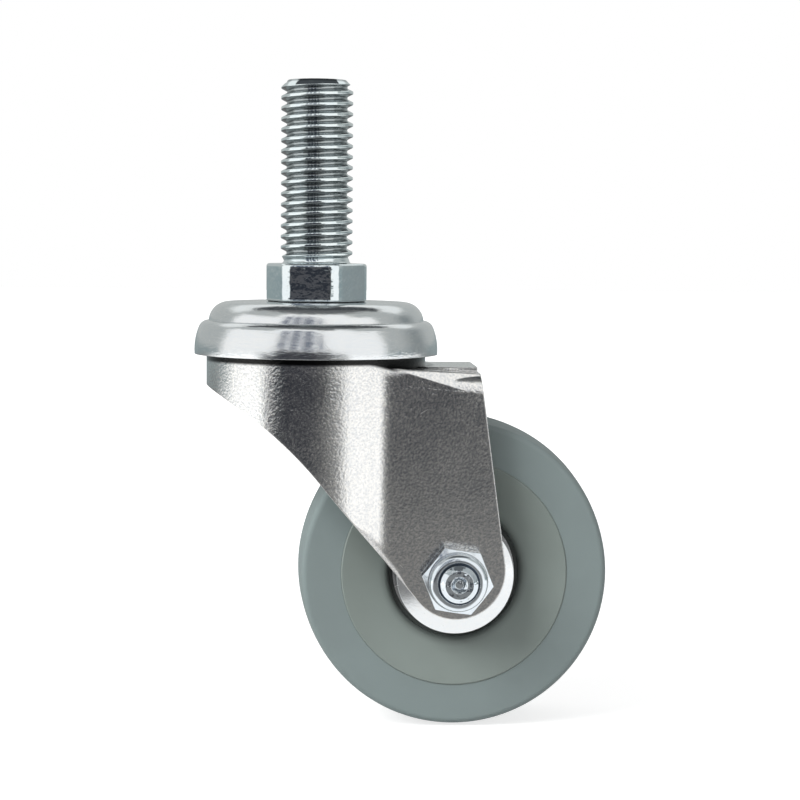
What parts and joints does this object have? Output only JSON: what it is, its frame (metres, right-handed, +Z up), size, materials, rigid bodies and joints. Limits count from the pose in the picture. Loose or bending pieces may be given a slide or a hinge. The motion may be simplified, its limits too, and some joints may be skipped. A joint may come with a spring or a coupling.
{
  "type": "threaded stem castor",
  "caption": "Swivel castor with a threaded stem and hex collar, a stepped ball-race cap, a pressed steel fork and a grey wheel on a bolted axle.",
  "frame": {"origin": "on the swivel axis, on the seating face of the hex collar where the thread starts", "axes": "+Z up along the stem, +X towards the side where the wheel trails, +Y along the axle towards the bolt head"},
  "size_m": [0.0681, 0.0423, 0.1056],
  "materials": {
    "zinc_plate": "bright zinc plate with a faint spangle",
    "bright_zinc": "bright zinc plate",
    "bearing_steel": "polished",
    "nylon": "satin",
    "core_plastic": "satin moulded",
    "tyre_rubber": "matte"
  },
  "bodies": {
    "stem": {"stem": "bright_zinc", "bearing_cap": "zinc_plate", "lower_race": "zinc_plate"},
    "fork": {"fork": "zinc_plate", "axle_bolt": "bright_zinc", "lock_nut": "bright_zinc", "nut_insert": "nylon", "axle_sleeve": "zinc_plate", "near_cover": "bright_zinc", "far_cover": "bright_zinc", "near_cone": "bearing_steel", "far_cone": "bearing_steel"},
    "wheel": {"wheel_core": "core_plastic", "tyre": "tyre_rubber", "near_cup": "bearing_steel", "far_cup": "bearing_steel"},
    "upper_ball_ring": {"upper_balls": "bearing_steel"},
    "lower_ball_ring": {"lower_balls": "bearing_steel"},
    "near_ball_ring": {"near_balls": "bearing_steel"},
    "far_ball_ring": {"far_balls": "bearing_steel"}
  },
  "joints": [
    {"name": "swivel", "type": "hinge", "parent": "stem", "child": "fork", "pos_m": [0, 0, 0], "axis": [0, 0, 1], "continuous": true},
    {"name": "wheel_spin", "type": "hinge", "parent": "fork", "child": "wheel", "pos_m": [0.0226, 0, -0.05016], "axis": [0, 1, 0], "continuous": true},
    {"name": "upper_ball_run", "type": "hinge", "parent": "stem", "child": "upper_ball_ring", "pos_m": [0, 0, 0], "axis": [0, 0, 1], "continuous": true},
    {"name": "lower_ball_run", "type": "hinge", "parent": "stem", "child": "lower_ball_ring", "pos_m": [0, 0, 0], "axis": [0, 0, 1], "continuous": true},
    {"name": "near_ball_run", "type": "hinge", "parent": "fork", "child": "near_ball_ring", "pos_m": [0.0226, 0, -0.05016], "axis": [0, 1, 0], "continuous": true},
    {"name": "far_ball_run", "type": "hinge", "parent": "fork", "child": "far_ball_ring", "pos_m": [0.0226, 0, -0.05016], "axis": [0, 1, 0], "continuous": true}
  ],
  "couplings": [
    {"joint": "upper_ball_run", "follows": "swivel", "ratio": 0.5},
    {"joint": "lower_ball_run", "follows": "swivel", "ratio": 0.5},
    {"joint": "near_ball_run", "follows": "wheel_spin", "ratio": 0.6065},
    {"joint": "far_ball_run", "follows": "wheel_spin", "ratio": 0.6065}
  ]
}
